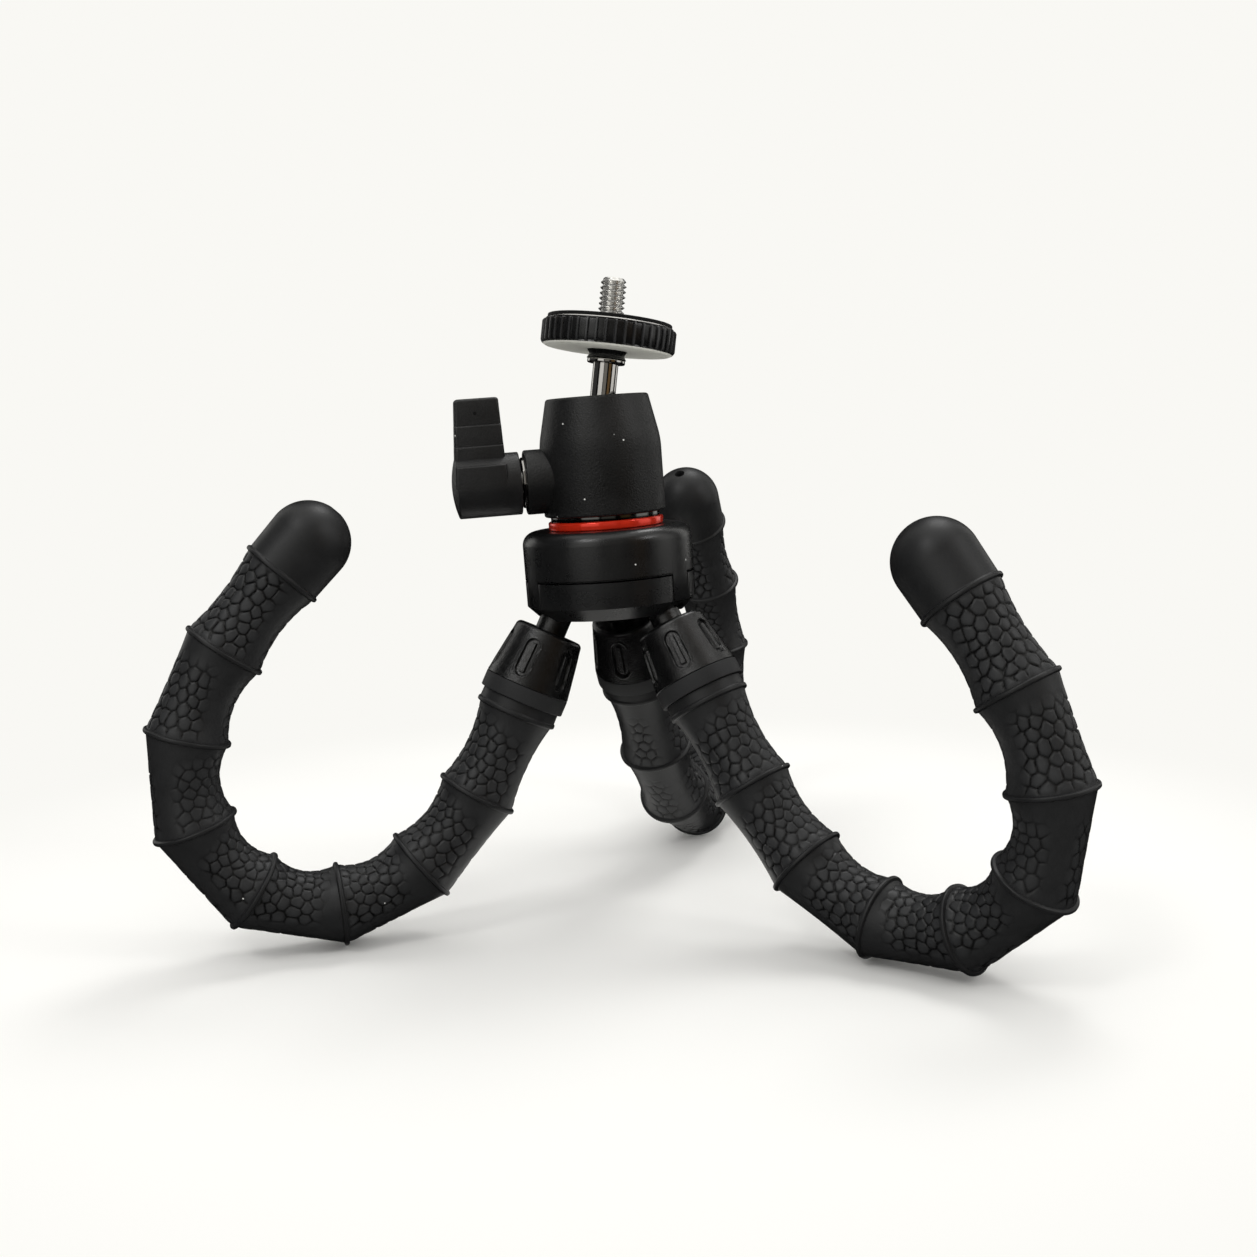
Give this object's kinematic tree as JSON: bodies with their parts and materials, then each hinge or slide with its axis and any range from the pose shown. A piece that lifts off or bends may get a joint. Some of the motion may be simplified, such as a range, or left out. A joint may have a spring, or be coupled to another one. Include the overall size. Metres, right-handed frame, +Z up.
{
  "type": "flexible leg tripod",
  "caption": "Small camera tripod with bendable ribbed rubber legs, a round hub and a ball head with clamp lever, knurled disc and camera screw.",
  "frame": {"origin": "On the floor, under the middle of the whole tripod as it stands on its curled legs.", "axes": "+Z up. The picture is seen from -Y, with +X to its right. The hub's own axis leans 2.5 degrees toward -X, and the clamp lever is on the -X side."},
  "size_m": [0.2113, 0.1882, 0.1587],
  "materials": {
    "shell_plastic": "satin",
    "collar_plastic": "semi-gloss",
    "band_plastic": "satin",
    "leg_rubber": "matt, moulded scales",
    "core_foam": "matt foam",
    "core_wire": "satin",
    "bright_steel": "bright",
    "chrome_steel": "polished",
    "red_anodised": "anodised, satin",
    "housing_paint": "matt, fine grain",
    "disc_anodised": "black anodised",
    "pad_rubber": "matt",
    "lever_plastic": "satin"
  },
  "bodies": {
    "hub": {"hub_cover": "shell_plastic", "hub_base": "shell_plastic", "hub_screws": "bright_steel", "clamp_plate": "shell_plastic", "hub_stud": "bright_steel", "lock_ring": "red_anodised"},
    "head_lift": {"head_washer": "bright_steel"},
    "head": {"housing": "housing_paint", "base_plug": "housing_paint", "ball_liner": "shell_plastic", "clamp_bush": "bright_steel"},
    "ball_pan": {"ball_seat": "shell_plastic"},
    "ball": {"ball_stem": "chrome_steel", "camera_screw": "chrome_steel"},
    "pad": {"disc_pad": "pad_rubber"},
    "disc": {"lock_disc": "disc_anodised"},
    "pin": {"clamp_pin": "bright_steel"},
    "lever": {"lever": "lever_plastic"},
    "stud_left": {"leg_stud_left": "shell_plastic"},
    "leg_left_0": {"leg_collar_left": "collar_plastic", "leg_band_left": "band_plastic", "sleeve_left_0": "leg_rubber", "core_left": "core_foam", "wire_left": "core_wire"},
    "leg_left_1": {"sleeve_left_1": "leg_rubber"},
    "leg_left_2": {"sleeve_left_2": "leg_rubber"},
    "leg_left_3": {"sleeve_left_3": "leg_rubber"},
    "leg_left_4": {"sleeve_left_4": "leg_rubber"},
    "leg_left_5": {"sleeve_left_5": "leg_rubber"},
    "leg_left_6": {"sleeve_left_6": "leg_rubber"},
    "leg_left_7": {"sleeve_left_7": "leg_rubber"},
    "leg_left_8": {"foot_left": "leg_rubber"},
    "stud_right": {"leg_stud_right": "shell_plastic"},
    "leg_right_0": {"leg_collar_right": "collar_plastic", "leg_band_right": "band_plastic", "sleeve_right_0": "leg_rubber", "core_right": "core_foam", "wire_right": "core_wire"},
    "leg_right_1": {"sleeve_right_1": "leg_rubber"},
    "leg_right_2": {"sleeve_right_2": "leg_rubber"},
    "leg_right_3": {"sleeve_right_3": "leg_rubber"},
    "leg_right_4": {"sleeve_right_4": "leg_rubber"},
    "leg_right_5": {"sleeve_right_5": "leg_rubber"},
    "leg_right_6": {"sleeve_right_6": "leg_rubber"},
    "leg_right_7": {"sleeve_right_7": "leg_rubber"},
    "leg_right_8": {"foot_right": "leg_rubber"},
    "stud_back": {"leg_stud_back": "shell_plastic"},
    "leg_back_0": {"leg_collar_back": "collar_plastic", "leg_band_back": "band_plastic", "sleeve_back_0": "leg_rubber", "core_back": "core_foam", "wire_back": "core_wire"},
    "leg_back_1": {"sleeve_back_1": "leg_rubber"},
    "leg_back_2": {"sleeve_back_2": "leg_rubber"},
    "leg_back_3": {"sleeve_back_3": "leg_rubber"},
    "leg_back_4": {"sleeve_back_4": "leg_rubber"},
    "leg_back_5": {"sleeve_back_5": "leg_rubber"},
    "leg_back_6": {"sleeve_back_6": "leg_rubber"},
    "leg_back_7": {"sleeve_back_7": "leg_rubber"},
    "leg_back_8": {"foot_back": "leg_rubber"}
  },
  "joints": [
    {"name": "head_rise", "type": "slide", "parent": "hub", "child": "head_lift", "axis": [-0.0436, 0, 0.999], "range_m": [0, 0.00254]},
    {"name": "head_turn", "type": "hinge", "parent": "head_lift", "child": "head", "pos_m": [0.00192, -0.0185, 0.10148], "axis": [-0.0436, 0, 0.999], "range_deg": [-0.5, 720.5]},
    {"name": "ball_pan", "type": "hinge", "parent": "head", "child": "ball_pan", "pos_m": [0.00106, -0.0185, 0.12136], "axis": [-0.0436, 0, 0.999], "range_deg": [-180, 180]},
    {"name": "ball_tilt", "type": "hinge", "parent": "ball_pan", "child": "ball", "pos_m": [0.00106, -0.0185, 0.12136], "axis": [-0.2921, 0.9563, -0.0128], "range_deg": [-33.4, 12.6]},
    {"name": "pad_rise", "type": "slide", "parent": "ball", "child": "pad", "axis": [0.1296, 0.0528, 0.9902], "range_m": [0, 0.00254]},
    {"name": "disc_turn", "type": "hinge", "parent": "pad", "child": "disc", "pos_m": [0.00106, -0.0185, 0.12136], "axis": [0.1296, 0.0528, 0.9902], "range_deg": [-0.5, 720.5]},
    {"name": "pin_travel", "type": "slide", "parent": "head", "child": "pin", "axis": [-0.9839, -0.1736, -0.043], "range_m": [-0.000067, 0.000267]},
    {"name": "lever_turn", "type": "hinge", "parent": "pin", "child": "lever", "pos_m": [-0.01859, -0.02205, 0.10959], "axis": [-0.9839, -0.1736, -0.043], "range_deg": [-30.5, 120.5]},
    {"name": "splay_left", "type": "hinge", "parent": "hub", "child": "stud_left", "pos_m": [-0.0073, -0.02358, 0.08386], "axis": [-0.2921, 0.9563, -0.0128], "range_deg": [-23.3, 1.9]},
    {"name": "swivel_left", "type": "hinge", "parent": "stud_left", "child": "leg_left_0", "pos_m": [-0.0073, -0.02358, 0.08386], "axis": [-0.4145, -0.1386, -0.8994], "range_deg": [-20, 20]},
    {"name": "bend_left_1", "type": "hinge", "parent": "leg_left_0", "child": "leg_left_1", "pos_m": [-0.02574, -0.02975, 0.04383], "axis": [-0.2921, 0.9563, -0.0128], "range_deg": [-5.5, 3], "deforming": ["core_left", "wire_left"]},
    {"name": "bend_left_2", "type": "hinge", "parent": "leg_left_1", "child": "leg_left_2", "pos_m": [-0.03674, -0.03336, 0.02489], "axis": [-0.2921, 0.9563, -0.0128], "range_deg": [-20.5, 3], "deforming": ["core_left", "wire_left"]},
    {"name": "bend_left_3", "type": "hinge", "parent": "leg_left_2", "child": "leg_left_3", "pos_m": [-0.0534, -0.03863, 0.01119], "axis": [-0.2921, 0.9563, -0.0128], "range_deg": [-34, 3], "deforming": ["core_left", "wire_left"]},
    {"name": "bend_left_4", "type": "hinge", "parent": "leg_left_3", "child": "leg_left_4", "pos_m": [-0.07457, -0.04512, 0.00961], "axis": [-0.2921, 0.9563, -0.0128], "range_deg": [-39, 3], "deforming": ["core_left", "wire_left"]},
    {"name": "bend_left_5", "type": "hinge", "parent": "leg_left_4", "child": "leg_left_5", "pos_m": [-0.09203, -0.05029, 0.02231], "axis": [-0.2921, 0.9563, -0.0128], "range_deg": [-38, 3], "deforming": ["core_left", "wire_left"]},
    {"name": "bend_left_6", "type": "hinge", "parent": "leg_left_5", "child": "leg_left_6", "pos_m": [-0.09835, -0.05193, 0.04353], "axis": [-0.2921, 0.9563, -0.0128], "range_deg": [-32.5, 3], "deforming": ["core_left", "wire_left"]},
    {"name": "bend_left_7", "type": "hinge", "parent": "leg_left_6", "child": "leg_left_7", "pos_m": [-0.09278, -0.04995, 0.06493], "axis": [-0.2921, 0.9563, -0.0128], "range_deg": [-21, 3], "deforming": ["core_left", "wire_left"]},
    {"name": "bend_left_8", "type": "hinge", "parent": "leg_left_7", "child": "leg_left_8", "pos_m": [-0.08025, -0.04588, 0.0828], "axis": [-0.2921, 0.9563, -0.0128], "range_deg": [-6.5, 3], "deforming": ["core_left", "wire_left"]},
    {"name": "splay_right", "type": "hinge", "parent": "hub", "child": "stud_right", "pos_m": [0.01206, -0.0246, 0.0847], "axis": [-0.5872, -0.809, -0.0256], "range_deg": [-23.35, 1.85]},
    {"name": "swivel_right", "type": "hinge", "parent": "stud_right", "child": "leg_right_0", "pos_m": [0.01206, -0.0246, 0.0847], "axis": [0.4222, -0.2791, -0.8625], "range_deg": [-20, 20]},
    {"name": "bend_right_1", "type": "hinge", "parent": "leg_right_0", "child": "leg_right_1", "pos_m": [0.03085, -0.03702, 0.04632], "axis": [-0.5872, -0.809, -0.0256], "range_deg": [-3, 3], "deforming": ["core_right", "wire_right"]},
    {"name": "bend_right_2", "type": "hinge", "parent": "leg_right_1", "child": "leg_right_2", "pos_m": [0.04101, -0.04381, 0.02779], "axis": [-0.5872, -0.809, -0.0256], "range_deg": [-14.5, 3], "deforming": ["core_right", "wire_right"]},
    {"name": "bend_right_3", "type": "hinge", "parent": "leg_right_2", "child": "leg_right_3", "pos_m": [0.05456, -0.05317, 0.0129], "axis": [-0.5872, -0.809, -0.0256], "range_deg": [-27.5, 3], "deforming": ["core_right", "wire_right"]},
    {"name": "bend_right_4", "type": "hinge", "parent": "leg_right_3", "child": "leg_right_4", "pos_m": [0.07202, -0.06567, 0.0073], "axis": [-0.5872, -0.809, -0.0256], "range_deg": [-35, 3], "deforming": ["core_right", "wire_right"]},
    {"name": "bend_right_5", "type": "hinge", "parent": "leg_right_4", "child": "leg_right_5", "pos_m": [0.08875, -0.07806, 0.01502], "axis": [-0.5872, -0.809, -0.0256], "range_deg": [-40.5, 3], "deforming": ["core_right", "wire_right"]},
    {"name": "bend_right_6", "type": "hinge", "parent": "leg_right_5", "child": "leg_right_6", "pos_m": [0.0972, -0.08481, 0.03441], "axis": [-0.5872, -0.809, -0.0256], "range_deg": [-38, 3], "deforming": ["core_right", "wire_right"]},
    {"name": "bend_right_7", "type": "hinge", "parent": "leg_right_6", "child": "leg_right_7", "pos_m": [0.0941, -0.08325, 0.05634], "axis": [-0.5872, -0.809, -0.0256], "range_deg": [-22, 3], "deforming": ["core_right", "wire_right"]},
    {"name": "bend_right_8", "type": "hinge", "parent": "leg_right_7", "child": "leg_right_8", "pos_m": [0.0846, -0.07696, 0.07538], "axis": [-0.5872, -0.809, -0.0256], "range_deg": [-5.5, 3], "deforming": ["core_right", "wire_right"]},
    {"name": "splay_back", "type": "hinge", "parent": "hub", "child": "stud_back", "pos_m": [0.00326, -0.00732, 0.08432], "axis": [0.9579, -0.284, 0.0418], "range_deg": [-20.17, 5.03]},
    {"name": "swivel_back", "type": "hinge", "parent": "stud_back", "child": "leg_back_0", "pos_m": [0.00326, -0.00732, 0.08432], "axis": [0.1602, 0.4078, -0.8989], "range_deg": [-20, 20]},
    {"name": "bend_back_1", "type": "hinge", "parent": "leg_back_0", "child": "leg_back_1", "pos_m": [0.01039, 0.01083, 0.04432], "axis": [0.9579, -0.284, 0.0418], "range_deg": [-6, 3], "deforming": ["core_back", "wire_back"]},
    {"name": "bend_back_2", "type": "hinge", "parent": "leg_back_1", "child": "leg_back_2", "pos_m": [0.01448, 0.02185, 0.02548], "axis": [0.9579, -0.284, 0.0418], "range_deg": [-19.5, 3], "deforming": ["core_back", "wire_back"]},
    {"name": "bend_back_3", "type": "hinge", "parent": "leg_back_2", "child": "leg_back_3", "pos_m": [0.01996, 0.03831, 0.01164], "axis": [0.9579, -0.284, 0.0418], "range_deg": [-32, 3], "deforming": ["core_back", "wire_back"]},
    {"name": "bend_back_4", "type": "hinge", "parent": "leg_back_3", "child": "leg_back_4", "pos_m": [0.02633, 0.05943, 0.00908], "axis": [0.9579, -0.284, 0.0418], "range_deg": [-38, 3], "deforming": ["core_back", "wire_back"]},
    {"name": "bend_back_5", "type": "hinge", "parent": "leg_back_4", "child": "leg_back_5", "pos_m": [0.03126, 0.07773, 0.02063], "axis": [0.9579, -0.284, 0.0418], "range_deg": [-37, 3], "deforming": ["core_back", "wire_back"]},
    {"name": "bend_back_6", "type": "hinge", "parent": "leg_back_5", "child": "leg_back_6", "pos_m": [0.03275, 0.08582, 0.04125], "axis": [0.9579, -0.284, 0.0418], "range_deg": [-31.5, 3], "deforming": ["core_back", "wire_back"]},
    {"name": "bend_back_7", "type": "hinge", "parent": "leg_back_6", "child": "leg_back_7", "pos_m": [0.03079, 0.08243, 0.0631], "axis": [0.9579, -0.284, 0.0418], "range_deg": [-18.5, 3], "deforming": ["core_back", "wire_back"]},
    {"name": "bend_back_8", "type": "hinge", "parent": "leg_back_7", "child": "leg_back_8", "pos_m": [0.02701, 0.07254, 0.08262], "axis": [0.9579, -0.284, 0.0418], "range_deg": [-5, 3], "deforming": ["core_back", "wire_back"]}
  ],
  "couplings": [
    {"joint": "head_turn", "follows": "head_rise", "rad_per_m": 4947.4},
    {"joint": "disc_turn", "follows": "pad_rise", "rad_per_m": 4947.4},
    {"joint": "lever_turn", "follows": "pin_travel", "rad_per_m": 7854}
  ]
}
